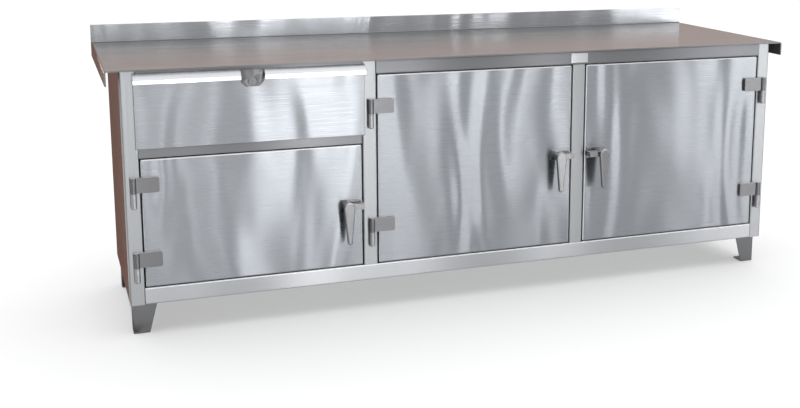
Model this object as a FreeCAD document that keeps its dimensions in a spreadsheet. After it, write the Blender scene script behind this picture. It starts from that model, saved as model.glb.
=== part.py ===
import FreeCAD, Part
import os
import re
import Sketcher

# A long stainless steel cabinet bench: a folded plate top with a backsplash and turned-down ends,
# on a cabinet of three bays that stands on four tapered legs.
# The left bay has a drawer over a short door, and the other two bays have tall doors.
# The origin is on the floor, midway between the four anchor holes of the feet.
# X runs along the bench to the right, Y runs from front to back, and Z is up.

doc = FreeCAD.newDocument("workbench")
sizes = doc.addObject("Spreadsheet::Sheet", "Sizes")

DRIVING_SIZES = {
    # cabinet and its sheet
    "cabinet_width": 2350,
    "cabinet_depth": 600,
    "cabinet_height": 754,
    "sheet": 2.7,
    "inner_bend": 1.8,
    "post_width": 47,
    "post_return": 40,
    "stile_width": 49,
    "hem": 8,
    "top_rail_height": 46,
    "bottom_rail_height": 54,
    "sill_flange": 22,
    "rail_flange": 30,
    "back_return": 30,
    "floor_rise": 30,
    "short_opening": 421.5,
    "drawer_rail_height": 44,
    "header_height": 16,
    # bench top
    "top_thickness": 5,
    "top_depth": 762,
    "top_bend": 3,
    "end_overhang": 44,
    "front_overhang": 16,
    "end_flange": 49,
    "backsplash_height": 64,
    # legs
    "leg_height": 105,
    "leg_sheet": 5,
    "leg_inset": 8,
    "leg_setback": 30,
    "leg_top_width": 86,
    "leg_foot_width": 51,
    "foot_plate": 6,
    "anchor_radius": 7,
    "anchor_inset": 29,
    # shelves
    "shelf_setback": 60,
    "shelf_level": 330,
    "shelf_flange": 25,
    "shelf_play": 1,
    "shelf_ledge": 25,
    # doors
    "door_gap": 3.2,
    "door_depth": 26,
    # hinges
    "hinge_inset": 25.2,
    "hinge_standoff": 10,
    "barrel_radius": 9.5,
    "barrel_height": 49,
    "barrel_gap": 0.4,
    "barrel_chamfer": 3,
    "weld_width": 12,
    "leaf_height": 49,
    "leaf_length": 80,
    "leaf_thickness": 10,
    "leaf_clear": 0.8,
    "leaf_corner": 6,
    "pin_radius": 5,
    "pin_depth": 40,
    "pin_reach": 38,
    "pin_headroom": 1,
    "pin_seat": 0.02,
    "pin_running": 0.06,
    "short_door_hinge_top": 54.8,
    "short_door_hinge_bottom": 19.8,
    "tall_door_hinge_top": 78.8,
    "tall_door_hinge_bottom": 63.8,
    # handles
    "handle_inset": 56.8,
    "handle_rise": 6,
    "handle_reach": 55,
    "base_plate": 4,
    "base_back": 20,
    "base_width": 70,
    "base_height": 38,
    "base_running": 0.3,
    "neck_radius": 12.5,
    "grip_thickness": 12,
    "head_radius": 19,
    "tip_radius": 7.5,
    "grip_length": 118,
    "grip_round": 4,
    "ear_thickness": 5,
    "ear_reach": 46,
    "ear_height": 14,
    "ear_standoff": 27.5,
    "ear_play": 1.5,
    "keeper_start": 14.5,
    "keeper_height": 18,
    "keeper_finger": 8,
    "keeper_web": 5,
    # latch
    "journal_radius": 7,
    "journal_running": 0.05,
    "journal_clear": 0.5,
    "spindle_square": 9,
    "spindle_seat": 0.05,
    "cam_depth": 8,
    "cam_thickness": 5,
    "cam_radius": 20.5,
    "crank": 10,
    "crank_radius": 4,
    "crank_play": 0.7,
    "crank_swing": 4.2,
    "crank_head_radius": 6,
    "crank_head": 2.5,
    "rod_depth": 15,
    "rod_thickness": 5,
    "rod_width": 22,
    "rod_centre": 13,
    "rod_tail": 6,
    "rod_play": 0.5,
    # drawer
    "front_overlay": 8.5,
    "front_drop": 14,
    "front_rise": 7,
    "front_gap": 0.5,
    "front_round": 2,
    "tray_sheet": 2,
    "tray_length": 540,
    "tray_headroom": 47.5,
    "tray_clear": 6,
    "pull_sheet": 2,
    "pull_reach": 18,
    "pull_slope": 22,
    "pull_lip": 10,
    "pull_back": 14,
    "pull_notch": 76,
    # drawer lock
    "lock_drop": 40.5,
    "lock_radius": 9.5,
    "lock_face_radius": 13,
    "lock_face": 3,
    "lock_length": 5,
    "lock_seat": 0.1,
    "plug_radius": 7,
    "plug_running": 0.05,
    "key_slot_width": 1.6,
    "key_slot_height": 8,
    "key_slot_depth": 3,
    "bolt_thickness": 2.5,
    "bolt_width": 14,
    "bolt_length": 43,
    # drawer runners
    "runner_setback": 14,
    "runner_length": 520,
    "runner_rise": 30,
    "runner_sheet": 2,
    "runner_height": 45,
    "runner_space": 13,
    "runner_play": 0.5,
    "bracket_height": 50,
    # blank plate on the top rail
    "plate_width": 64,
    "plate_height": 33,
    "plate_thickness": 1.5,
    "plate_drop": 6,
}
for row, (alias, value) in enumerate(DRIVING_SIZES.items(), start=1):
    sizes.set(f"A{row}", alias)
    sizes.set(f"B{row}", str(value))
    sizes.setAlias(f"B{row}", alias)
doc.recompute()

# Places and sizes that follow from the driving ones
WORKED_OUT = {
    "left": "-cabinet_width / 2",
    "front": "-cabinet_depth / 2",
    "outer_bend": "inner_bend + sheet",
    "underside": "leg_height + cabinet_height",
    "bay_width": "(cabinet_width - 2 * post_width - 2 * stile_width) / 3",
    "left_bay": "left + post_width",
    "left_wall": "left_bay + bay_width + stile_width / 2",
    "middle_bay": "left_bay + bay_width + stile_width",
    "right_wall": "middle_bay + bay_width + stile_width / 2",
    "right_bay": "middle_bay + bay_width + stile_width",
    "sill": "leg_height + bottom_rail_height",
    "tall_opening": "cabinet_height - bottom_rail_height - top_rail_height",
    "drawer_sill": "sill + short_opening + drawer_rail_height",
    "drawer_head": "underside - header_height",
    "floor_level": "leg_height + floor_rise",
    "back_face": "cabinet_depth / 2 - 2 * sheet",
    "door_width": "bay_width - 2 * door_gap",
    "door_bottom": "sill + door_gap",
    "shelf_top": "floor_level + shelf_level",
    "front_left": "left_bay - front_overlay",
    "front_width": "bay_width + 2 * front_overlay",
    "front_bottom": "drawer_sill - front_drop",
    "front_top": "drawer_head + front_rise",
    "front_face": "front - front_gap - sheet",
    "tray_bottom": "drawer_sill + tray_clear",
    "tray_height": "drawer_head - tray_headroom - tray_bottom",
    "runner_middle": "tray_bottom + runner_rise",
    "bay_middle": "left_bay + bay_width / 2",
    "lock_level": "front_top - lock_drop",
    "lock_back": "front - front_gap + lock_length",
    "ear_slot": "ear_standoff - ear_play",
    "ear_slot_width": "ear_thickness + 2 * ear_play",
    "keeper_reach": "ear_standoff + ear_thickness + ear_play + keeper_finger",
    "keeper_end": "ear_reach + 2 * ear_play + keeper_web",
    "grip_slant": "(head_radius - tip_radius) / grip_length",
    "grip_run": "sqrt(1 - grip_slant * grip_slant)",
    "grip_start": "handle_reach - grip_thickness",
    "slot_height": "2 * (crank_radius + crank_play)",
    "slot_length": "crank_swing + slot_height",
}
TINY = 0.001


def bound(text):
    """The text with every named size written out as a cell of the sheet."""

    def cell(found):
        word = found.group()
        if word in WORKED_OUT:
            return f"({bound(WORKED_OUT[word])})"
        return f"Sizes.{word}"

    return re.sub(r"\b[a-z_]+\b(?!\()", cell, text)


def number(text):
    """What the text comes to with the sizes as they stand."""
    return float(sizes.evalExpression(bound(text)))


def place(piece, corner):
    """Binds a piece's place to the sheet."""
    for axis, text in zip("xyz", corner):
        piece.setExpression(f"Placement.Base.{axis}", bound(text))
    return piece


def block(label, corner, lengths):
    """A rectangular sheet or bar with its lowest corner at the given place."""
    piece = doc.addObject("Part::Box", label)
    for side, text in zip(("Length", "Width", "Height"), lengths):
        piece.setExpression(side, bound(text))
    return place(piece, corner)


def cylinder(label, centre, radius, length, towards_back=False):
    """A round bar standing on its centre, or lying from its centre towards the back."""
    piece = doc.addObject("Part::Cylinder", label)
    piece.setExpression("Radius", bound(radius))
    piece.setExpression("Height", bound(length))
    if towards_back:
        piece.Placement.Rotation = FreeCAD.Rotation(FreeCAD.Vector(1, 0, 0), -90)
    return place(piece, centre)


def join(label, first, second):
    """Two solids made one."""
    piece = doc.addObject("Part::Fuse", label)
    piece.Base = first
    piece.Tool = second
    return piece


def cut(label, solid, tool):
    """A solid with another taken out of it."""
    piece = doc.addObject("Part::Cut", label)
    piece.Base = solid
    piece.Tool = tool
    return piece


def group(label, pieces):
    """Several like solids that share one name."""
    piece = doc.addObject("Part::Compound", label)
    piece.Links = pieces
    return piece


def mirrored(label, source, normal, middle="0"):
    """The other-handed twin of a piece, across a plane square to X or Y."""
    piece = doc.addObject("Part::Mirroring", label)
    piece.Source = source
    piece.Normal = FreeCAD.Vector(*normal)
    piece.setExpression("Base.x", bound(middle))
    return piece


def body_at(label, corner):
    """An empty body whose own origin is at the given place."""
    return place(doc.addObject("PartDesign::Body", label), corner)


def outline(sketch, points):
    """A closed outline of straight lines, with each corner bound to the sheet."""
    first = sketch.GeometryCount
    count = len(points)
    corners = [FreeCAD.Vector(number(across), number(up), 0) for across, up in points]
    for index, corner in enumerate(corners):
        sketch.addGeometry(Part.LineSegment(corner, corners[(index + 1) % count]), False)
    for index, (across, up) in enumerate(points):
        line = first + index
        following = first + (index + 1) % count
        sketch.addConstraint(Sketcher.Constraint("Coincident", line, 2, following, 1))
        for kind, text in (("DistanceX", across), ("DistanceY", up)):
            at = sketch.addConstraint(Sketcher.Constraint(kind, line, 1, number(text)))
            sketch.setExpression(f"Constraints[{at}]", bound(text))


def circle(sketch, centre, radius):
    """A circle whose centre and radius are bound to the sheet."""
    across, up = centre
    middle = FreeCAD.Vector(number(across), number(up), 0)
    ring = sketch.addGeometry(Part.Circle(middle, FreeCAD.Vector(0, 0, 1), number(radius)), False)
    for kind, text in (("DistanceX", across), ("DistanceY", up)):
        at = sketch.addConstraint(Sketcher.Constraint(kind, ring, 3, number(text)))
        sketch.setExpression(f"Constraints[{at}]", bound(text))
    at = sketch.addConstraint(Sketcher.Constraint("Radius", ring, number(radius)))
    sketch.setExpression(f"Constraints[{at}]", bound(radius))


def draw(body, plane, outlines=(), circles=(), lift="0"):
    """A sketch on one of the body's own planes, lifted along that plane's normal."""
    sketch = body.newObject("Sketcher::SketchObject", f"{body.Name}_sketch")
    support = [feature for feature in body.Origin.OriginFeatures if feature.Role == plane]
    sketch.AttachmentSupport = [(support[0], "")]
    sketch.MapMode = "FlatFace"
    sketch.setExpression("AttachmentOffset.Base.z", bound(lift))
    for points in outlines:
        outline(sketch, points)
    for centre, radius in circles:
        circle(sketch, centre, radius)
    return sketch


def pad(body, sketch, length, backwards=False):
    """Material raised from a sketch along its normal, or backwards against it."""
    feature = body.newObject("PartDesign::Pad", f"{body.Name}_pad")
    feature.Profile = sketch
    feature.setExpression("Length", bound(length))
    feature.Reversed = backwards
    doc.recompute()


def pocket(body, sketch, length, along_normal=False):
    """Material taken away from a sketch against its normal, or along it."""
    before = body.Shape.Volume
    feature = body.newObject("PartDesign::Pocket", f"{body.Name}_pocket")
    feature.Profile = sketch
    feature.setExpression("Length", bound(length))
    feature.Reversed = along_normal
    doc.recompute()
    if body.Shape.Volume > before - TINY:
        raise ValueError(f"a pocket in {body.Label} cuts nothing")


def round_edges(body, radius, wanted, feature="PartDesign::Fillet"):
    """Rounds, or chamfers, the edges of a body that the test picks out."""
    base = body.Tip
    names = [f"Edge{at}" for at, edge in enumerate(base.Shape.Edges, start=1) if wanted(edge)]
    dressed = body.newObject(feature, f"{body.Name}_edges")
    dressed.Base = (base, names)
    dressed.setExpression("Radius" if feature == "PartDesign::Fillet" else "Size", bound(radius))
    doc.recompute()


def all_at(edge, axis, value):
    """Whether both ends of an edge lie at one place along an axis."""
    return all(abs(getattr(vertex.Point, axis) - value) < TINY for vertex in edge.Vertexes)


PLANE_AXES = {"XY_Plane": "xy", "XZ_Plane": "xz", "YZ_Plane": "yz"}


def folded(label, corner, plane, path, length, wall="sheet", inner="inner_bend"):
    """A sheet folded square along a path of outer corners, with its wall to the path's left."""
    spots = [(number(across), number(up)) for across, up in path]
    normals = []
    for (across, up), (next_across, next_up) in zip(spots, spots[1:]):
        run = abs(next_across - across) + abs(next_up - up)
        normals.append((-(next_up - up) / run, (next_across - across) / run))
    inside = []
    for index, (across, up) in enumerate(path):
        meeting = {normals[max(index - 1, 0)], normals[min(index, len(normals) - 1)]}
        shift = [sum(normal[axis] for normal in meeting) for axis in (0, 1)]
        inside.append((f"{across} + {shift[0]:g} * {wall}", f"{up} + {shift[1]:g} * {wall}"))
    body = body_at(label, corner)
    backwards = plane == "XZ_Plane"
    pad(body, draw(body, plane, [path + inside[::-1]]), length, backwards)
    first, second = PLANE_AXES[plane]

    def at_fold(points):
        folds = [(number(across), number(up)) for across, up in points[1:-1]]
        return lambda edge: any(
            all_at(edge, first, across) and all_at(edge, second, up) for across, up in folds
        )

    round_edges(body, f"{inner} + {wall}", at_fold(path))
    round_edges(body, inner, at_fold(inside))
    return body


def rectangle(low_across, low_up, high_across, high_up):
    """The four corners of an upright rectangle."""
    return [
        (low_across, low_up),
        (high_across, low_up),
        (high_across, high_up),
        (low_across, high_up),
    ]


def pan(body, plane, wide, tall, wall, depth, backwards):
    """A flat sheet with a rim standing up all round it."""
    outer = rectangle("0", "0", wide, tall)
    inner = rectangle(wall, wall, f"{wide} - {wall}", f"{tall} - {wall}")
    pad(body, draw(body, plane, [outer]), wall, backwards)
    pad(body, draw(body, plane, [outer, inner]), depth, backwards)


parts = []

# Bench top: one plate folded down at both ends and up along the back.
top_length = "(cabinet_width + 2 * end_overhang)"
bench_top = folded(
    "bench_top",
    ("left - end_overhang", "front - front_overhang", "underside + top_thickness - end_flange"),
    "XZ_Plane",
    [(top_length, "0"), (top_length, "end_flange"), ("0", "end_flange"), ("0", "0")],
    "top_depth",
    "top_thickness",
    "top_bend",
)
splash = rectangle(
    "0", "end_flange - top_thickness - top_bend", top_length, "end_flange + backsplash_height"
)
splash_lift = "top_thickness - top_depth"
pad(bench_top, draw(bench_top, "XZ_Plane", [splash], lift=splash_lift), "top_thickness", True)
splash_front = number("top_depth - top_thickness")
round_edges(
    bench_top,
    "top_bend",
    lambda edge: all_at(edge, "y", splash_front) and all_at(edge, "z", number("end_flange")),
)
parts.append(bench_top)

# Front posts at the outer corners, and the side panels behind them with a return at the back.
left_post = folded(
    "left_post",
    ("left", "front", "leg_height"),
    "XY_Plane",
    [("0", "post_return"), ("0", "0"), ("post_width", "0"), ("post_width", "hem")],
    "cabinet_height",
)
side_depth = "(cabinet_depth - post_return)"
left_side_panel = folded(
    "left_side_panel",
    ("left", "front + post_return", "leg_height"),
    "XY_Plane",
    [("back_return", side_depth), ("0", side_depth), ("0", "0")],
    "cabinet_height",
)
parts += [left_post, left_side_panel]
parts.append(mirrored("right_post", left_post, (1, 0, 0)))
parts.append(mirrored("right_side_panel", left_side_panel, (1, 0, 0)))

# Stiles between the bays, each a channel with its edges turned in.
stile_path = [("0", "hem"), ("0", "0"), ("stile_width", "0"), ("stile_width", "hem")]
for label, start, height in (
    ("left_stile", "left_bay + bay_width", "cabinet_height - bottom_rail_height"),
    ("right_stile", "middle_bay + bay_width", "tall_opening"),
):
    parts.append(folded(label, (start, "front", "sill"), "XY_Plane", stile_path, height))

# Rails across the front: the bottom rail from post to post, the top rail over the tall doors,
# the narrow header over the drawer, and the set-back rail under the drawer.
parts.append(
    folded(
        "bottom_rail",
        ("left_bay", "front", "leg_height"),
        "YZ_Plane",
        [
            ("hem", "bottom_rail_height"),
            ("0", "bottom_rail_height"),
            ("0", "0"),
            ("sill_flange", "0"),
        ],
        "cabinet_width - 2 * post_width",
    )
)
parts.append(
    folded(
        "top_rail",
        ("middle_bay", "front", "underside - top_rail_height"),
        "YZ_Plane",
        [("rail_flange", "top_rail_height"), ("0", "top_rail_height"), ("0", "0"), ("hem", "0")],
        "2 * bay_width + stile_width",
    )
)
parts.append(
    folded(
        "drawer_header",
        ("left_bay", "front", "drawer_head"),
        "YZ_Plane",
        [("rail_flange", "header_height"), ("0", "header_height"), ("0", "0")],
        "bay_width",
    )
)
parts.append(
    folded(
        "drawer_rail",
        ("left + sheet", "front + hem", "sill + short_opening"),
        "YZ_Plane",
        [("rail_flange", "drawer_rail_height"), ("0", "drawer_rail_height"), ("0", "0")],
        "left_wall - left - 1.5 * sheet",
    )
)

# Floor with its edges turned down, back panel, and the two partitions behind the stiles.
floor_panel = body_at("floor_panel", ("left + sheet", "front + hem", "floor_level"))
pan(
    floor_panel,
    "XY_Plane",
    "(cabinet_width - 2 * sheet)",
    "(back_face - front - hem)",
    "sheet",
    "floor_rise - sheet",
    True,
)
parts.append(floor_panel)
parts.append(
    block(
        "back_panel",
        ("left + outer_bend", "back_face", "leg_height"),
        ("cabinet_width - 2 * outer_bend", "sheet", "cabinet_height"),
    )
)
for label, middle in (("left_partition", "left_wall"), ("right_partition", "right_wall")):
    parts.append(
        block(
            label,
            (f"{middle} - sheet / 2", "front + rail_flange", "floor_level"),
            ("sheet", "back_face - front - rail_flange", "underside - floor_level"),
        )
    )

# Legs: two tapered plates that meet at the outer corner, on a foot plate with an anchor hole.
leg_top = "(floor_level - sheet)"
taper = [("0", "0"), ("leg_foot_width", "0"), ("leg_top_width", leg_top), ("0", leg_top)]
front_left_leg = body_at("front_left_leg", ("left + leg_inset", "front + leg_setback", "0"))
pad(front_left_leg, draw(front_left_leg, "XZ_Plane", [taper]), "leg_sheet", True)
pad(front_left_leg, draw(front_left_leg, "YZ_Plane", [taper]), "leg_sheet")
foot = rectangle("0", "0", "leg_foot_width", "leg_foot_width")
pad(front_left_leg, draw(front_left_leg, "XY_Plane", [foot]), "foot_plate")
anchor = (("anchor_inset", "anchor_inset"), "anchor_radius")
anchor_hole = draw(front_left_leg, "XY_Plane", circles=[anchor])
pocket(front_left_leg, anchor_hole, "foot_plate", True)
round_edges(
    front_left_leg,
    "top_bend",
    lambda edge: all_at(edge, "x", 0) and all_at(edge, "y", 0),
)
rear_left_leg = mirrored("rear_left_leg", front_left_leg, (0, 1, 0))
parts += [front_left_leg, rear_left_leg]
parts.append(mirrored("front_right_leg", front_left_leg, (1, 0, 0)))
parts.append(mirrored("rear_right_leg", rear_left_leg, (1, 0, 0)))

# A shelf in each tall bay, folded down at the front and back, on angle ledges at its two ends.
shelf_depth = "(back_face - front - shelf_setback - shelf_play)"
ledges = []
for side, start, end in (
    ("middle", "left_wall + sheet / 2", "right_wall - sheet / 2"),
    ("right", "right_wall + sheet / 2", "-left - sheet"),
):
    parts.append(
        folded(
            f"{side}_shelf",
            (f"{start} + shelf_play", "front + shelf_setback", "shelf_top - shelf_flange"),
            "YZ_Plane",
            [
                (shelf_depth, "0"),
                (shelf_depth, "shelf_flange"),
                ("0", "shelf_flange"),
                ("0", "0"),
            ],
            f"{end} - ({start}) - 2 * shelf_play",
        )
    )
    ledge_low = "shelf_top - sheet - shelf_ledge"
    ledge_front = "front + shelf_setback + 2 * outer_bend"
    ledge = folded(
        f"{side}_shelf_left_ledge",
        (start, ledge_front, ledge_low),
        "XZ_Plane",
        [("shelf_ledge", "shelf_ledge"), ("0", "shelf_ledge"), ("0", "0")],
        f"{shelf_depth} - 4 * outer_bend",
    )
    ledges.append(ledge)
    twin = mirrored(f"{side}_shelf_right_ledge", ledge, (1, 0, 0), f"({start} + ({end})) / 2")
    ledges.append(twin)
parts.append(group("shelf_ledges", ledges))


def hinge_barrel(label, axis_x, low):
    """The frame half of a hinge: a barrel on a weld pad, bored from above for its pin."""
    barrel = body_at(label, (axis_x, "front - hinge_standoff", low))
    weld = rectangle("-weld_width / 2", "0", "weld_width / 2", "hinge_standoff")
    centre = ("0", "0")
    pad(barrel, draw(barrel, "XY_Plane", circles=[(centre, "barrel_radius")]), "barrel_height")
    round_edges(
        barrel,
        "barrel_chamfer",
        lambda edge: all_at(edge, "z", 0) and edge.Closed,
        "PartDesign::Chamfer",
    )
    weld_sketch = draw(barrel, "XY_Plane", [weld], lift="barrel_chamfer")
    pad(barrel, weld_sketch, "barrel_height - barrel_chamfer")
    bore = [(centre, "pin_radius + pin_seat")]
    pocket(barrel, draw(barrel, "XY_Plane", circles=bore, lift="barrel_height"), "pin_depth")
    return barrel


def hinge_leaf(label, axis_x, low):
    """The door half of a hinge: a thick strap on the door's face that ends in a knuckle."""
    leaf = body_at(label, (axis_x, "front - hinge_standoff", low))
    centre = ("0", "0")
    lifted = "hinge_standoff - leaf_clear"
    strap_front = "hinge_standoff - leaf_clear - leaf_thickness"
    seat = "hinge_inset + outer_bend"
    strap = [
        ("0", strap_front),
        ("leaf_length", strap_front),
        ("leaf_length", "hinge_standoff"),
        (seat, "hinge_standoff"),
        (seat, lifted),
        ("0", lifted),
    ]
    pad(leaf, draw(leaf, "XY_Plane", circles=[(centre, "barrel_radius")]), "leaf_height")
    pad(leaf, draw(leaf, "XY_Plane", [strap]), "leaf_height")
    bore = [(centre, "pin_radius + pin_running")]
    pocket(leaf, draw(leaf, "XY_Plane", circles=bore), "pin_reach + pin_headroom", True)
    end = number("leaf_length")
    round_edges(
        leaf,
        "leaf_corner",
        lambda edge: all_at(edge, "x", end) and edge.Vertexes[0].Z == edge.Vertexes[1].Z,
    )
    return leaf


def door_set(name, bay, opening, hinge_top, hinge_bottom):
    """A door hinged on its left, with hinges, handle and two latch rods, by name of piece."""
    edge = f"{bay} + door_gap"
    tall = f"({opening} - 2 * door_gap)"
    pivot_across = "door_width - handle_inset"
    pivot_up = f"{tall} / 2 + handle_rise"
    pivot = (f"{edge} + {pivot_across}", "front", f"door_bottom + {pivot_up}")
    centre = ("0", "0")

    panel = body_at(f"{name}_door", (edge, "front", "door_bottom"))
    pan(panel, "XZ_Plane", "door_width", tall, "sheet", "door_depth", True)
    sides = (0, number("door_width"))
    ends = (0, number(tall))

    def outer_edge(edge):
        at_front = all_at(edge, "y", 0)
        at_side = any(all_at(edge, "x", side) for side in sides)
        at_end = any(all_at(edge, "z", end) for end in ends)
        return at_front or (at_side and at_end)

    round_edges(panel, "outer_bend", outer_edge)
    hole = ((pivot_across, pivot_up), "journal_radius + journal_clear")
    pocket(panel, draw(panel, "XZ_Plane", circles=[hole]), "sheet")
    slot_front = "rod_depth - rod_play"
    slot_back = "rod_depth + rod_thickness + rod_play"
    half = "(rod_width / 2 + rod_play)"
    for middle, lift, upwards in (
        (f"{pivot_across} - rod_centre", tall, False),
        (f"{pivot_across} + rod_centre", "0", True),
    ):
        slot = rectangle(f"{middle} - {half}", slot_front, f"{middle} + {half}", slot_back)
        pocket(panel, draw(panel, "XY_Plane", [slot], lift=lift), "sheet", upwards)

    axis_x = f"{edge} - hinge_inset"
    lower_leaf = f"door_bottom + {hinge_bottom} + barrel_height + barrel_gap"
    upper_leaf = f"door_bottom + {tall} - {hinge_top} - leaf_height"
    leaves, barrels, pins = [], [], []
    for spot, low in (("lower", lower_leaf), ("upper", upper_leaf)):
        barrel_low = f"{low} - barrel_gap - barrel_height"
        pin_low = f"{low} - barrel_gap - pin_depth"
        pin_at = (axis_x, "front - hinge_standoff", pin_low)
        pin_length = "pin_depth + barrel_gap + pin_reach"
        leaves.append(hinge_leaf(f"{name}_{spot}_leaf", axis_x, low))
        barrels.append(hinge_barrel(f"{name}_{spot}_barrel", axis_x, barrel_low))
        pins.append(cylinder(f"{name}_{spot}_pin", pin_at, "pin_radius", pin_length))

    # The handle's base on the door face, with a two-fingered keeper towards the door's free edge
    base = body_at(f"{name}_handle_base", pivot)
    plate = rectangle(
        "-base_back", "-base_height / 2", "base_width - base_back", "base_height / 2"
    )
    keeper = rectangle("keeper_start", "-keeper_height / 2", "keeper_end", "keeper_height / 2")
    pad(base, draw(base, "XZ_Plane", [plate]), "base_plate")
    pad(base, draw(base, "XZ_Plane", [keeper]), "keeper_reach")
    finger_room = rectangle("0", "-keeper_height", "keeper_end - keeper_web", "keeper_height")
    for lift, width in (
        ("ear_slot", "ear_slot_width"),
        ("base_plate", "ear_slot - keeper_finger - base_plate"),
    ):
        pocket(base, draw(base, "XZ_Plane", [finger_room], lift=lift), width, True)
    bore = [(centre, "journal_radius + journal_running")]
    pocket(base, draw(base, "XZ_Plane", circles=bore, lift="base_plate"), "base_plate")

    # The lever: a round neck, a tapered grip that hangs from it, a flat ear and the spindle
    lever = body_at(f"{name}_lever", pivot)
    neck_start = "base_plate + base_running"
    neck = draw(lever, "XZ_Plane", circles=[(centre, "neck_radius")], lift=neck_start)
    pad(lever, neck, f"grip_start - ({neck_start})")
    top_end = "-head_radius * grip_slant"
    low_end = "-grip_length - tip_radius * grip_slant"
    grip = [
        ("-head_radius * grip_run", top_end),
        ("-tip_radius * grip_run", low_end),
        ("tip_radius * grip_run", low_end),
        ("head_radius * grip_run", top_end),
    ]
    for outlines, circles in (
        ([], [(centre, "head_radius")]),
        ([grip], []),
        ([], [(("0", "-grip_length"), "tip_radius")]),
    ):
        grip_sketch = draw(lever, "XZ_Plane", outlines, circles, "grip_start")
        pad(lever, grip_sketch, "grip_thickness")
    grip_front = -number("handle_reach")
    round_edges(lever, "grip_round", lambda edge: all_at(edge, "y", grip_front))
    ear = rectangle("0", "-ear_height / 2", "ear_reach", "ear_height / 2")
    pad(lever, draw(lever, "XZ_Plane", [ear], lift="ear_standoff"), "ear_thickness")
    journal_end = "sheet + journal_clear"
    journal = draw(lever, "XZ_Plane", circles=[(centre, "journal_radius")], lift=neck_start)
    pad(lever, journal, f"{neck_start} + {journal_end}", True)
    square = rectangle(*(["-spindle_square / 2"] * 2 + ["spindle_square / 2"] * 2))
    pad(lever, draw(lever, "XZ_Plane", [square]), "cam_depth + cam_thickness", True)

    # The latch cam on the spindle's end, with a headed crank pin for each rod
    cam = body_at(f"{name}_latch_cam", pivot)
    disc = draw(cam, "XZ_Plane", circles=[(centre, "cam_radius")], lift="-cam_depth")
    pad(cam, disc, "cam_thickness", True)
    room = "spindle_square / 2 + spindle_seat"
    socket = rectangle(f"-({room})", f"-({room})", room, room)
    pocket(cam, draw(cam, "XZ_Plane", [socket], lift="-cam_depth"), "cam_thickness")
    cranks = [("-crank", "-crank"), ("crank", "crank")]
    crank_pins = [(spot, "crank_radius") for spot in cranks]
    crank_heads = [(spot, "crank_head_radius") for spot in cranks]
    head_start = "rod_depth + rod_thickness + rod_play"
    pins_sketch = draw(cam, "XZ_Plane", circles=crank_pins, lift="-cam_depth")
    pad(cam, pins_sketch, f"{head_start} - cam_depth", True)
    heads_sketch = draw(cam, "XZ_Plane", circles=crank_heads, lift=f"-({head_start})")
    pad(cam, heads_sketch, "crank_head", True)

    # The rods: flat bars that the cranks push out past the door's top and bottom edges
    rods = {}
    for end, way, reach in (
        ("top", "-1", f"{tall} - ({pivot_up}) - rod_play"),
        ("bottom", "1", f"{pivot_up} - rod_play"),
    ):
        rod = body_at(f"{name}_{end}_rod", pivot)
        middle = f"{way} * rod_centre"
        tail = f"{way} * (crank + slot_height / 2 + rod_tail)"
        bar = rectangle(
            f"{middle} - rod_width / 2", tail, f"{middle} + rod_width / 2", f"-{way} * ({reach})"
        )
        slot_middle = f"{way} * (crank + crank_swing / 2)"
        slot = rectangle(
            f"{slot_middle} - slot_length / 2",
            f"{way} * crank - slot_height / 2",
            f"{slot_middle} + slot_length / 2",
            f"{way} * crank + slot_height / 2",
        )
        rod_sketch = draw(rod, "XZ_Plane", [bar, slot], lift="-rod_depth")
        pad(rod, rod_sketch, "rod_thickness", True)
        rods[f"{end}_rod"] = rod
    return {
        "door": panel,
        "hinge_leaves": group(f"{name}_hinge_leaves", leaves),
        "handle_base": base,
        "lever": lever,
        "latch_cam": cam,
        **rods,
    }, barrels, pins


# Doors: the short left one, the tall middle one, and the right one as the middle one's twin.
left_set, barrels, pins = door_set(
    "left", "left_bay", "short_opening", "short_door_hinge_top", "short_door_hinge_bottom"
)
middle_set, middle_barrels, middle_pins = door_set(
    "middle", "middle_bay", "tall_opening", "tall_door_hinge_top", "tall_door_hinge_bottom"
)
parts += list(left_set.values()) + list(middle_set.values())
for piece_name, piece in middle_set.items():
    parts.append(mirrored(f"right_{piece_name}", piece, (1, 0, 0), "right_wall"))
for fixed, originals in ((barrels, middle_barrels), (pins, middle_pins)):
    fixed += originals
    for piece in originals:
        twin_label = piece.Label.replace("middle", "right")
        fixed.append(mirrored(twin_label, piece, (1, 0, 0), "right_wall"))
parts.append(group("hinge_barrels", barrels))
parts.append(group("hinge_pins", pins))

# Drawer front: a flat sheet that laps over the opening, with a hole for the lock.
drawer_front = body_at("drawer_front", ("front_left", "front_face", "front_bottom"))
front_height = "(front_top - front_bottom)"
front_sheet = rectangle("0", "0", "front_width", front_height)
pad(drawer_front, draw(drawer_front, "XZ_Plane", [front_sheet]), "sheet", True)
round_edges(drawer_front, "front_round", lambda edge: all_at(edge, "y", 0))
lock_hole = (("front_width / 2", f"{front_height} - lock_drop"), "lock_radius + lock_seat")
pocket(drawer_front, draw(drawer_front, "XZ_Plane", circles=[lock_hole]), "sheet")
parts.append(drawer_front)

# Drawer pulls: folded strips along the top of the front, parted in the middle for the lock.
pull_inner = "(pull_reach - pull_sheet)"
pull_section = [
    ("0", "0"),
    ("0", "-pull_back"),
    ("-pull_sheet", "-pull_back"),
    ("-pull_sheet", "-2 * pull_sheet"),
    (f"-{pull_inner}", "-pull_slope"),
    (f"-{pull_inner}", "-pull_slope - pull_lip"),
    ("-pull_reach", "-pull_slope - pull_lip"),
    ("-pull_reach", "-pull_slope + pull_sheet"),
    ("-pull_sheet", "0"),
]
left_pull = body_at("left_drawer_pull", ("front_left", "front_face", "front_top"))
pad(left_pull, draw(left_pull, "YZ_Plane", [pull_section]), "(front_width - pull_notch) / 2")
parts.append(left_pull)
parts.append(mirrored("right_drawer_pull", left_pull, (1, 0, 0), "bay_middle"))

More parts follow.
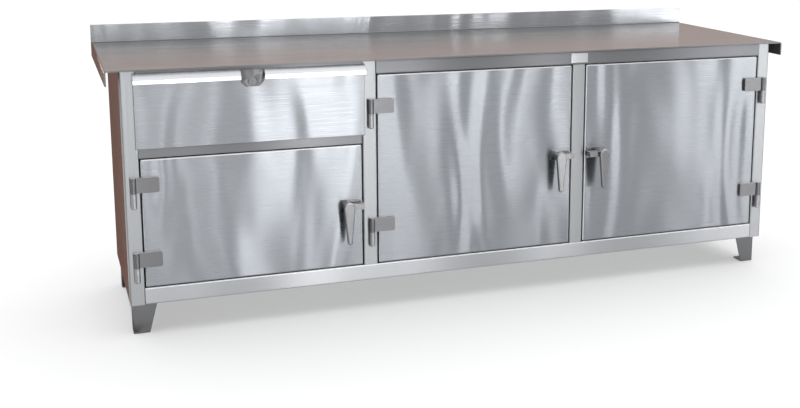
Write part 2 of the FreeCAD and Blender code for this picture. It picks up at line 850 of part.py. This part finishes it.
# Drawer tray, open at the top, welded to the back of the front.
tray_width = "(bay_width - 2 * runner_space)"
drawer_tray = body_at(
    "drawer_tray", ("left_bay + runner_space", "front - front_gap", "tray_bottom")
)
pan(drawer_tray, "XY_Plane", tray_width, "tray_length", "tray_sheet", "tray_height", False)
parts.append(drawer_tray)

# Drawer lock: a barrel held in the front, a keyed plug that turns in it, and a bolt on the plug.
face_start = "front_face - lock_face"
lock_face = cylinder(
    "lock_face", ("bay_middle", face_start, "lock_level"), "lock_face_radius", "lock_face", True
)
lock_span = "(lock_back - front_face + lock_face)"
lock_shank = cylinder(
    "lock_shank", ("bay_middle", face_start, "lock_level"), "lock_radius", lock_span, True
)
lock_bore = cylinder(
    "lock_bore",
    ("bay_middle", face_start, "lock_level"),
    "plug_radius + plug_running",
    lock_span,
    True,
)
parts.append(cut("lock_barrel", join("lock_body", lock_face, lock_shank), lock_bore))
plug_bar = cylinder(
    "plug_bar", ("bay_middle", face_start, "lock_level"), "plug_radius", lock_span, True
)
key_slot = block(
    "key_slot",
    (
        "bay_middle - key_slot_width / 2",
        face_start,
        "lock_level - key_slot_height / 2",
    ),
    ("key_slot_width", "key_slot_depth", "key_slot_height"),
)
parts.append(cut("lock_plug", plug_bar, key_slot))
lock_bolt = body_at("lock_bolt", ("bay_middle", "lock_back", "lock_level"))
bolt = rectangle("-bolt_width / 2", "-bolt_width / 2", "bolt_length", "bolt_width / 2")
pad(lock_bolt, draw(lock_bolt, "XZ_Plane", [bolt]), "bolt_thickness", True)
parts.append(lock_bolt)

# Drawer runners: on each side a bracket, a fixed channel, a slider in it and an arm on the tray.
runner_start = "front + runner_setback"
slider_height = "(runner_height - 2 * runner_sheet - 2 * runner_play)"
arm_height = f"({slider_height} - 2 * runner_sheet - 2 * runner_play)"
arm_start = "(2 * runner_sheet + 2 * runner_play)"


def runner_channel(label, start, width, height, faces_drawer=True):
    """A channel that runs front to back, open to the drawer or to the cabinet's side."""
    section = [(width, "0"), (width, height), ("0", height), ("0", "0")]
    path = [section[1], section[2], section[3], section[0]]
    if not faces_drawer:
        path = [section[3], section[0], section[1], section[2]]
    corner = (start, runner_start, f"runner_middle - {height} / 2")
    return folded(label, corner, "XZ_Plane", path, "runner_length", "runner_sheet", "runner_play")


channel_width = "(runner_space - runner_sheet)"
slider_width = "(runner_space - runner_sheet - 2 * runner_play)"
arm_width = f"(runner_space - {arm_start})"
runner_nodes = {
    "runner_channels": runner_channel(
        "left_runner_channel", "left_bay", channel_width, "runner_height"
    ),
    "runner_sliders": runner_channel(
        "left_runner_slider", "left_bay + runner_sheet + runner_play", slider_width, slider_height
    ),
    "runner_arms": runner_channel(
        "left_runner_arm", f"left_bay + {arm_start}", arm_width, arm_height, False
    ),
}
for node, left_runner in runner_nodes.items():
    twin_label = left_runner.Label.replace("left", "right")
    right_runner = mirrored(twin_label, left_runner, (1, 0, 0), "bay_middle")
    parts.append(group(node, [left_runner, right_runner]))
left_bracket = runner_channel(
    "left_runner_bracket", "left + sheet", "(post_width - sheet)", "bracket_height", False
)
right_bracket = runner_channel(
    "right_runner_bracket",
    "left_bay + bay_width",
    "(stile_width / 2 - sheet / 2)",
    "bracket_height",
)
parts.append(group("runner_brackets", [left_bracket, right_bracket]))

# Small blank plate on the top rail, over the right stile.
blank_plate = body_at(
    "blank_plate",
    ("right_wall - plate_width / 2", "front", "underside - plate_drop - plate_height"),
)
plate_outline = rectangle("0", "0", "plate_width", "plate_height")
pad(blank_plate, draw(blank_plate, "XZ_Plane", [plate_outline]), "plate_thickness")
parts.append(blank_plate)

doc.recompute()
for item in doc.Objects:
    if "Invalid" in item.State or "Error" in item.State:
        raise ValueError(f"{item.Label} failed: {item.State}")
for part in parts:
    if part.Shape.isNull() or not part.Shape.isValid():
        raise ValueError(f"{part.Label} has no valid shape")

os.makedirs("parts", exist_ok=True)
for part in parts:
    part.Shape.exportStep(f"parts/{part.Label}.step")
print(f"{len(parts)} sub-parts written")
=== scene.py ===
import math

import bpy
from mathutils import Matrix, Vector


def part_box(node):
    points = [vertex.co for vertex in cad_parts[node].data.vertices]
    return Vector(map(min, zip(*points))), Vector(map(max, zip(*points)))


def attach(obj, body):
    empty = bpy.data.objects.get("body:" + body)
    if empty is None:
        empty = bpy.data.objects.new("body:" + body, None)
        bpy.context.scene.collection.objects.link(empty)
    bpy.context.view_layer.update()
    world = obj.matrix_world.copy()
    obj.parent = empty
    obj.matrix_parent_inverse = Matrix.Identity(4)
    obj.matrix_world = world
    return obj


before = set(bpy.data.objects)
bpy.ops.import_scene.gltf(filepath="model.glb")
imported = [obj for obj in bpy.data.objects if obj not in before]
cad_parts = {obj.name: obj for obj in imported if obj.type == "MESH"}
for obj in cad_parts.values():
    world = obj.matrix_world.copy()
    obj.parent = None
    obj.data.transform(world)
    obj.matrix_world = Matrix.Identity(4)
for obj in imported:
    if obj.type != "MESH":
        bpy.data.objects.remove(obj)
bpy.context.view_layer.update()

# Bench top
# One heavy stainless plate, folded down at both ends and up along the back, and welded to the
# cabinet. It is ground lengthwise, so its grain runs along X. Its underside and the inward faces of
# its end flanges are near black, painted shade, and its front edge is a darker copy of the steel,
# also painted shade.


def brushed(name, tint, roughness, grain, smear, wave_depth=0.0, cloud=0.12):
    """Makes a stainless steel finish, brushed, a little clouded and perhaps wavy.

    grain is how often the brush lines repeat along X, Y and Z, and smear is the direction across
    them, in which reflections spread. wave_depth is in metres, and cloud is a share of the tint.
    """
    material = bpy.data.materials.new(name)
    material.use_nodes = True
    nodes = material.node_tree.nodes
    links = material.node_tree.links
    shader = nodes["Principled BSDF"]
    shader.inputs["Metallic"].default_value = 1.0
    shader.inputs["Anisotropic"].default_value = 0.98
    across = nodes.new("ShaderNodeCombineXYZ")
    for axis, share in zip("XYZ", smear):
        across.inputs[axis].default_value = share
    links.new(across.outputs["Vector"], shader.inputs["Tangent"])
    place = nodes.new("ShaderNodeTexCoord")

    stretch = nodes.new("ShaderNodeMapping")
    stretch.inputs["Scale"].default_value = grain
    links.new(place.outputs["Object"], stretch.inputs["Vector"])
    fine = nodes.new("ShaderNodeTexNoise")
    fine.inputs["Scale"].default_value = 1.0
    fine.inputs["Detail"].default_value = 5.0
    links.new(stretch.outputs["Vector"], fine.inputs["Vector"])

    sway = nodes.new("ShaderNodeMapping")
    sway.inputs["Scale"].default_value = (3.8, 3.8, 1.2)
    links.new(place.outputs["Object"], sway.inputs["Vector"])
    broad = nodes.new("ShaderNodeTexNoise")
    broad.inputs["Scale"].default_value = 1.0
    broad.inputs["Detail"].default_value = 1.0
    broad.inputs["Distortion"].default_value = 0.8
    links.new(sway.outputs["Vector"], broad.inputs["Vector"])

    rough = nodes.new("ShaderNodeMapRange")
    rough.inputs["From Min"].default_value = 0.3
    rough.inputs["From Max"].default_value = 0.7
    rough.inputs["To Min"].default_value = roughness - 0.03
    rough.inputs["To Max"].default_value = roughness + 0.04
    links.new(fine.outputs["Fac"], rough.inputs["Value"])
    links.new(rough.outputs["Result"], shader.inputs["Roughness"])

    shade = nodes.new("ShaderNodeMix")
    shade.data_type = "RGBA"
    shade.inputs["A"].default_value = (*[channel * (1 - cloud) for channel in tint], 1)
    shade.inputs["B"].default_value = (*[min(1, channel * (1 + cloud)) for channel in tint], 1)
    both = nodes.new("ShaderNodeMath")
    both.operation = "MULTIPLY_ADD"
    both.inputs[1].default_value = 0.5
    half = nodes.new("ShaderNodeMath")
    half.operation = "MULTIPLY"
    half.inputs[1].default_value = 0.5
    links.new(fine.outputs["Fac"], half.inputs[0])
    links.new(broad.outputs["Fac"], both.inputs[0])
    links.new(half.outputs["Value"], both.inputs[2])
    links.new(both.outputs["Value"], shade.inputs["Factor"])
    links.new(shade.outputs["Result"], shader.inputs["Base Color"])

    scratch = nodes.new("ShaderNodeBump")
    scratch.inputs["Strength"].default_value = 0.055
    scratch.inputs["Distance"].default_value = 0.0004
    links.new(fine.outputs["Fac"], scratch.inputs["Height"])
    if wave_depth:
        wave = nodes.new("ShaderNodeBump")
        wave.inputs["Strength"].default_value = 1.0
        wave.inputs["Distance"].default_value = wave_depth
        links.new(broad.outputs["Fac"], wave.inputs["Height"])
        links.new(wave.outputs["Normal"], scratch.inputs["Normal"])
    links.new(scratch.outputs["Normal"], shader.inputs["Normal"])
    return material


def finish_nodes(material, names):
    """Gives CAD nodes one material."""
    for name in names:
        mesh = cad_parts[name].data
        mesh.materials.clear()
        mesh.materials.append(material)


top_steel = brushed("top_steel", (0.40, 0.385, 0.38), 0.14, (2, 260, 260), (0, 0.7, 0.7))
finish_nodes(top_steel, ["bench_top"])
splash_steel = brushed("splash_steel", (0.3, 0.31, 0.327), 0.24, (2, 260, 260), (0, 0, 1), 0.01)
side_steel = brushed("side_steel", (0.46, 0.44, 0.43), 0.10, (220, 2, 220), (0, 0, 1), 0.002)
# Painted shade: near-black steel for the underside and the inward faces of the top.
underside_painted_shade = brushed("underside_painted_shade", (0.04, 0.042, 0.04), 0.5, (60, 60, 60), (0, 1, 0))
# Painted shade: a darker copy of the top's steel for its front edge.
front_edge_painted_shade = brushed("front_edge_painted_shade", (0.16, 0.16, 0.165), 0.4, (2, 260, 260), (0, 0, 1))
top_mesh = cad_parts["bench_top"].data
for steel in (splash_steel, underside_painted_shade, side_steel, front_edge_painted_shade):
    top_mesh.materials.append(steel)
splash_slot, underside_shade_slot, end_slot, front_edge_shade_slot = 1, 2, 3, 4
plate_depth = 0.006
splash_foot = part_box("left_stile")[1][2] + plate_depth
for face in top_mesh.polygons:
    faces_inwards = face.normal.x * face.center.x < 0
    faces_down = face.normal.z < -0.5
    faces_end = abs(face.normal.x) > 0.7
    faces_front = face.normal.y < -0.3
    if face.center.z > splash_foot:
        face.material_index = splash_slot
    elif faces_down or faces_inwards:
        face.material_index = underside_shade_slot
    elif faces_end:
        face.material_index = end_slot
    elif faces_front:
        face.material_index = front_edge_shade_slot

# Cabinet sides, back and inside
# Plain stainless sheets welded to the posts and to each other. The sides are ground smooth; the back
# and the shelves, which few people see, keep a duller finish.
finish_nodes(
    side_steel, ["left_side_panel", "right_side_panel", "left_partition", "right_partition"]
)
back_steel = brushed("back_steel", (0.47, 0.465, 0.46), 0.5, (220, 220, 2), (1, 0, 0))
finish_nodes(back_steel, ["back_panel"])
inside_steel = brushed("inside_steel", (0.50, 0.51, 0.52), 0.36, (2, 240, 240), (0, 1, 0))
finish_nodes(inside_steel, ["floor_panel", "middle_shelf", "right_shelf", "shelf_ledges"])

# Front frame
# Posts, stiles and rails folded from sheet with small bend radii, and welded flush at every joint.
# Uprights and rails are each brushed along their length, and the bottom rail's upper front bend gets
# a painted highlight.
upright_steel = brushed("upright_steel", (0.27, 0.277, 0.285), 0.32, (260, 260, 2), (0, 0, 1))
finish_nodes(upright_steel, ["left_post", "right_post", "left_stile", "right_stile"])
rail_steel = brushed("rail_steel", (0.34, 0.347, 0.36), 0.32, (2, 260, 260), (0, 0, 1))
finish_nodes(rail_steel, ["bottom_rail"])
shaded_steel = brushed("shaded_steel", (0.155, 0.157, 0.165), 0.34, (2, 260, 260), (0, 0, 1))
finish_nodes(shaded_steel, ["top_rail", "drawer_header", "drawer_rail"])
# Painted highlight: a pale copy of the steel for bends and upper faces that catch the light.
painted_highlight_steel = brushed("painted_highlight_steel", (0.86, 0.87, 0.89), 0.5, (60, 60, 60), (0, 0, 1))


def paint_highlight(names, chosen):
    """Gives the chosen faces of CAD nodes a pale copy of the steel: a painted highlight."""
    for name in names:
        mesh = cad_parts[name].data
        mesh.materials.append(painted_highlight_steel)
        for face in mesh.polygons:
            if chosen(face.normal):
                face.material_index = len(mesh.materials) - 1


def on_front_bend(normal):
    """Tells whether a face lies on the bend round the front of a folded sheet."""
    return -0.95 < normal.y < -0.1


paint_highlight(["bottom_rail"], lambda normal: on_front_bend(normal) and normal.z > 0.1)

# Legs
# Tapered angles of thick plate, welded under the cabinet's corners and closed by foot plates.
# They keep the dull surface of the rolled plate.
leg_steel = brushed("leg_steel", (0.22, 0.222, 0.226), 0.42, (60, 60, 8), (1, 0, 0))
finish_nodes(
    leg_steel, ["front_left_leg", "front_right_leg", "rear_left_leg", "rear_right_leg"]
)

# Doors
# Pans folded from thinner sheet with rounded edges, hung in the frame's openings. The sheet is
# ground crosswise and slightly wavy, so that tall reflections bend in it.
door_steel = brushed("door_steel", (0.23, 0.241, 0.257), 0.29, (5, 700, 700), (0, 0, 1), 0.016, 0.16)
doors = ["left_door", "middle_door", "right_door"]
finish_nodes(door_steel, doors)
# Painted highlight on the doors' upper and side bends round the front.
paint_highlight(doors, lambda normal: on_front_bend(normal) and normal.z > -0.1)

# Hinges
# Thick satin straps welded to the doors, turning on pins in barrels welded to the frame. The
# straps' upward faces get a painted highlight.


def faces_up(normal):
    """Tells whether a face looks more up than sideways."""
    return normal.z > 0.5


cast_steel = brushed("cast_steel", (0.14, 0.14, 0.145), 0.30, (90, 90, 90), (0, 0, 1))
leaves = ["left_hinge_leaves", "middle_hinge_leaves", "right_hinge_leaves"]
finish_nodes(cast_steel, leaves)
barrel_steel = brushed("barrel_steel", (0.30, 0.30, 0.31), 0.30, (90, 90, 90), (0, 0, 1))
finish_nodes(barrel_steel, ["hinge_barrels"])
paint_highlight(leaves, faces_up)
pin_steel = brushed("pin_steel", (0.55, 0.55, 0.55), 0.18, (40, 40, 200), (0, 0, 1))
finish_nodes(pin_steel, ["hinge_pins"])

# Handles and latches
# Cast levers on bases screwed through the doors, with a satin finish; their upward faces get a
# painted highlight.
# Each turns a plated cam behind its door, which throws two flat plated rods.
lever_steel = brushed("lever_steel", (0.20, 0.20, 0.205), 0.22, (70, 70, 70), (0, 0, 1))
sides = ("left", "middle", "right")
levers = [f"{side}_lever" for side in sides]
bases = [f"{side}_handle_base" for side in sides]
finish_nodes(lever_steel, levers + bases)
paint_highlight(levers + bases, faces_up)
plated_steel = brushed("plated_steel", (0.52, 0.52, 0.49), 0.38, (150, 150, 4), (1, 0, 0))
latch_pieces = ("latch_cam", "top_rod", "bottom_rod")
finish_nodes(plated_steel, [f"{side}_{piece}" for side in sides for piece in latch_pieces])

# Drawer
# A flat sheet front welded to a folded tray that slides on plated steel runners. Two folded pulls
# run along the top of the front, one on each side of the lock. Their pale tint is painted highlight,
# for the light from above on their sloping tops.
front_steel = brushed("front_steel", (0.225, 0.235, 0.25), 0.29, (5, 700, 700), (0, 0, 1), 0.010)
finish_nodes(front_steel, ["drawer_front"])
finish_nodes(inside_steel, ["drawer_tray"])
# Painted highlight: the pulls' pale tint stands for the light from above on their sloping tops.
pull_highlight_steel = brushed("pull_highlight_steel", (0.82, 0.84, 0.88), 0.24, (2, 200, 200), (0, 0, 1))
finish_nodes(pull_highlight_steel, ["left_drawer_pull", "right_drawer_pull"])
finish_nodes(plated_steel, ["runner_arms", "runner_sliders", "runner_channels", "runner_brackets"])

# Drawer lock
# A small cam lock of chromed brass in the gap between the pulls, held in the front by its barrel.
# Its plug turns a flat bolt up behind the frame.
lock_chrome = brushed("lock_chrome", (0.17, 0.171, 0.175), 0.3, (60, 60, 60), (0, 0, 1))
finish_nodes(lock_chrome, ["lock_barrel", "lock_plug", "lock_bolt"])

# Lock plate
# A pressed steel plate with clipped lower corners that fills the gap between the pulls. The lock's
# face passes through its round hole and holds it against the drawer front.
lock_low, lock_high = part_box("lock_barrel")
lock_x = (lock_low[0] + lock_high[0]) / 2
lock_z = (lock_low[2] + lock_high[2]) / 2
lock_radius = (lock_high[2] - lock_low[2]) / 2
plate_play = 0.0003
plate_thickness = 0.002
plate_margin = 0.003
clipped_corner = 0.016
rim_round = 0.0006
cutter_depth = 0.02
smooth_below = math.radians(30)
plate_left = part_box("left_drawer_pull")[1][0] + plate_play
plate_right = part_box("right_drawer_pull")[0][0] - plate_play
plate_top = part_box("drawer_front")[1][2]
plate_bottom = lock_low[2] - plate_margin
plate_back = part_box("drawer_front")[0][1]
plate_middle = (
    (plate_left + plate_right) / 2,
    plate_back - plate_thickness / 2,
    (plate_top + plate_bottom) / 2,
)

bpy.ops.object.select_all(action="DESELECT")
bpy.ops.mesh.primitive_cube_add(size=1, location=plate_middle)
lock_plate = bpy.context.object
lock_plate.name = "lock_plate"
lock_plate.scale = (plate_right - plate_left, plate_thickness, plate_top - plate_bottom)
bpy.ops.object.transform_apply(location=True, rotation=True, scale=True)
bpy.ops.object.mode_set(mode="EDIT")
bpy.ops.mesh.select_mode(type="EDGE")
bpy.ops.mesh.select_all(action="DESELECT")
bpy.ops.object.mode_set(mode="OBJECT")
corners = lock_plate.data.vertices
for edge in lock_plate.data.edges:
    start, end = [corners[index].co for index in edge.vertices]
    edge.select = abs(start.y - end.y) > plate_thickness / 2 and start.z < plate_middle[2]
bpy.ops.object.mode_set(mode="EDIT")
bpy.ops.mesh.bevel(offset=clipped_corner, segments=1)
bpy.ops.object.mode_set(mode="OBJECT")

bpy.ops.object.select_all(action="DESELECT")
bpy.ops.mesh.primitive_cylinder_add(
    vertices=64,
    radius=lock_radius + plate_play,
    depth=cutter_depth,
    location=(lock_x, plate_back, lock_z),
    rotation=(math.radians(90), 0, 0),
)
hole_cutter = bpy.context.object
bpy.ops.object.select_all(action="DESELECT")
lock_plate.select_set(True)
bpy.context.view_layer.objects.active = lock_plate
lock_hole = lock_plate.modifiers.new("lock_hole", "BOOLEAN")
lock_hole.object = hole_cutter
bpy.ops.object.modifier_apply(modifier="lock_hole")
bpy.data.objects.remove(hole_cutter)
soft_rim = lock_plate.modifiers.new("soft_rim", "BEVEL")
soft_rim.width = rim_round
soft_rim.segments = 2
bpy.ops.object.modifier_apply(modifier="soft_rim")
bpy.ops.object.shade_smooth_by_angle(angle=smooth_below)

lock_plate_steel = brushed("lock_plate_steel", (0.15, 0.15, 0.155), 0.36, (4, 220, 220), (0, 0, 1))
lock_plate.data.materials.append(lock_plate_steel)
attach(lock_plate, "drawer")

# Blank plate
# A thin rectangle of bright stainless sheet, cemented flat to the top rail over the right stile.
# Its face is plain and polished.
plate_steel = brushed("plate_steel", (0.40, 0.415, 0.43), 0.2, (4, 150, 150), (0, 0, 1))
finish_nodes(plate_steel, ["blank_plate"])

# Floor
# A plain pale studio floor of painted board that keeps the bench's soft shadow. A share of white
# that only the eye and mirrors see lifts the shadow.


def seen_or_mirrored(tree):
    """Gives a socket that is 1 for rays from the eye, also past a mirror or glass, and else 0."""
    ray = tree.nodes.new("ShaderNodeLightPath")
    mirrored = tree.nodes.new("ShaderNodeMath")
    mirrored.operation = "MAXIMUM"
    tree.links.new(ray.outputs["Is Glossy Ray"], mirrored.inputs[0])
    tree.links.new(ray.outputs["Is Transmission Ray"], mirrored.inputs[1])
    seen = tree.nodes.new("ShaderNodeMath")
    seen.operation = "MAXIMUM"
    tree.links.new(ray.outputs["Is Camera Ray"], seen.inputs[0])
    tree.links.new(mirrored.outputs["Value"], seen.inputs[1])
    return seen.outputs["Value"]


floor_width = 40
white_share = 0.35
bpy.ops.object.select_all(action="DESELECT")
bpy.ops.mesh.primitive_plane_add(size=floor_width)
floor = bpy.context.object
floor.name = "floor"
floor_paint = bpy.data.materials.new("floor_paint")
floor_paint.use_nodes = True
floor_tree = floor_paint.node_tree
floor_shader = floor_tree.nodes["Principled BSDF"]
floor_shader.inputs["Base Color"].default_value = (0.86, 0.86, 0.86, 1)
floor_shader.inputs["Roughness"].default_value = 0.9
floor_white = floor_tree.nodes.new("ShaderNodeEmission")
floor_white.inputs["Color"].default_value = (1, 1, 1, 1)
floor_white.inputs["Strength"].default_value = 1.0
lift = floor_tree.nodes.new("ShaderNodeMath")
lift.operation = "MULTIPLY"
lift.inputs[1].default_value = white_share
floor_tree.links.new(seen_or_mirrored(floor_tree), lift.inputs[0])
lifted = floor_tree.nodes.new("ShaderNodeMixShader")
floor_tree.links.new(lift.outputs["Value"], lifted.inputs["Fac"])
floor_tree.links.new(floor_shader.outputs["BSDF"], lifted.inputs[1])
floor_tree.links.new(floor_white.outputs["Emission"], lifted.inputs[2])
floor_surface = floor_tree.nodes["Material Output"].inputs["Surface"]
floor_tree.links.new(lifted.outputs["Shader"], floor_surface)
floor.data.materials.append(floor_paint)

# Cards
# Plain brown studio cards that only mirrors see, two standing and one lying. The bench's left end
# mirrors the two small ones close to it, and its top mirrors the large one far behind it.
dark_brown = (0.15, 0.08, 0.062, 1)
pale_brown = (0.44, 0.345, 0.315, 1)
lying, standing = 0, math.radians(90)
for name, middle, tilt, size, tone in (
    ("side_card", (-1.217, 0.47, 0.45), standing, (0.116, 0.9), dark_brown),
    ("foot_card", (-1.215, 0.07, 0.005), lying, (0.13, 0.8), dark_brown),
    ("back_card", (1.5, 5.0, 1.45), standing, (9, 1.9), pale_brown),
):
    bpy.ops.object.select_all(action="DESELECT")
    bpy.ops.mesh.primitive_plane_add(size=1, location=middle, rotation=(tilt, 0, 0))
    card = bpy.context.object
    card.name = name
    card.scale = (*size, 1)
    card.visible_camera = False
    card.visible_diffuse = False
    card.visible_shadow = False
    card_paint = bpy.data.materials.new(f"{name}_paint")
    card_paint.use_nodes = True
    card_shader = card_paint.node_tree.nodes["Principled BSDF"]
    card_shader.inputs["Base Color"].default_value = (0, 0, 0, 1)
    card_shader.inputs["Emission Color"].default_value = tone
    card_shader.inputs["Emission Strength"].default_value = 1.0
    card.data.materials.append(card_paint)

# Light
# A pale room all round that shows as white behind the bench, and a wide soft light overhead. Low
# strip lights behind the camera give the doors and the drawer their tall bright bands.
world = bpy.data.worlds.new("studio")
bpy.context.scene.world = world
world.use_nodes = True
room = world.node_tree
sky = room.nodes["Background"]
sky.inputs["Color"].default_value = (0.40, 0.405, 0.41, 1)
sky.inputs["Strength"].default_value = 1.0
white = room.nodes.new("ShaderNodeBackground")
white.inputs["Color"].default_value = (1, 1, 1, 1)
white.inputs["Strength"].default_value = 1.0
either = room.nodes.new("ShaderNodeMixShader")
room.links.new(seen_or_mirrored(room), either.inputs["Fac"])
room.links.new(sky.outputs["Background"], either.inputs[1])
room.links.new(white.outputs["Background"], either.inputs[2])
room.links.new(either.outputs["Shader"], room.nodes["World Output"].inputs["Surface"])

strip_y, strip_z, strip_height = -4.6, 0.58, 0.96
for name, strip_x, turn, width, power in (
    ("end_strip", -1.0, 0, 0.2, 9),
    ("near_strip", -0.5, 5, 0.1, 6),
    ("left_strip", 0.32, 10, 0.3, 21),
    ("stile_strip", 0.78, 12, 0.09, 7),
    ("middle_strip", 1.1, 15, 0.14, 9),
    ("right_strip", 2.15, 25, 0.14, 11),
    ("far_right_strip", 4.0, 35, 1.2, 34),
):
    bpy.ops.object.select_all(action="DESELECT")
    bpy.ops.object.light_add(
        type="AREA",
        location=(strip_x, strip_y, strip_z),
        rotation=(standing, 0, math.radians(turn)),
    )
    lamp = bpy.context.object
    lamp.name = name
    lamp.data.shape = "RECTANGLE"
    lamp.data.size = width
    lamp.data.size_y = strip_height
    lamp.data.energy = power

bpy.ops.object.select_all(action="DESELECT")
bpy.ops.object.light_add(type="SUN", rotation=(math.radians(-12), math.radians(8), 0))
overhead = bpy.context.object
overhead.name = "overhead_light"
overhead.data.energy = 2.85
overhead.data.angle = math.radians(95)
overhead.visible_glossy = False

# Camera
# It stands in front of the bench's left end, a little above the top, and looks to the right along
# the front. A small shift places the bench in the frame.
bpy.ops.object.select_all(action="DESELECT")
bpy.ops.object.camera_add(
    location=(-1.4072, -4.0153, 1.3863),
    rotation=[math.radians(angle) for angle in (79.2216, -0.4179, -21.0955)],
)
camera = bpy.context.object
camera.data.lens = 52.739
camera.data.shift_x = -0.10759
camera.data.shift_y = -0.10265
bpy.context.scene.camera = camera
bpy.context.scene.view_settings.view_transform = "Standard"
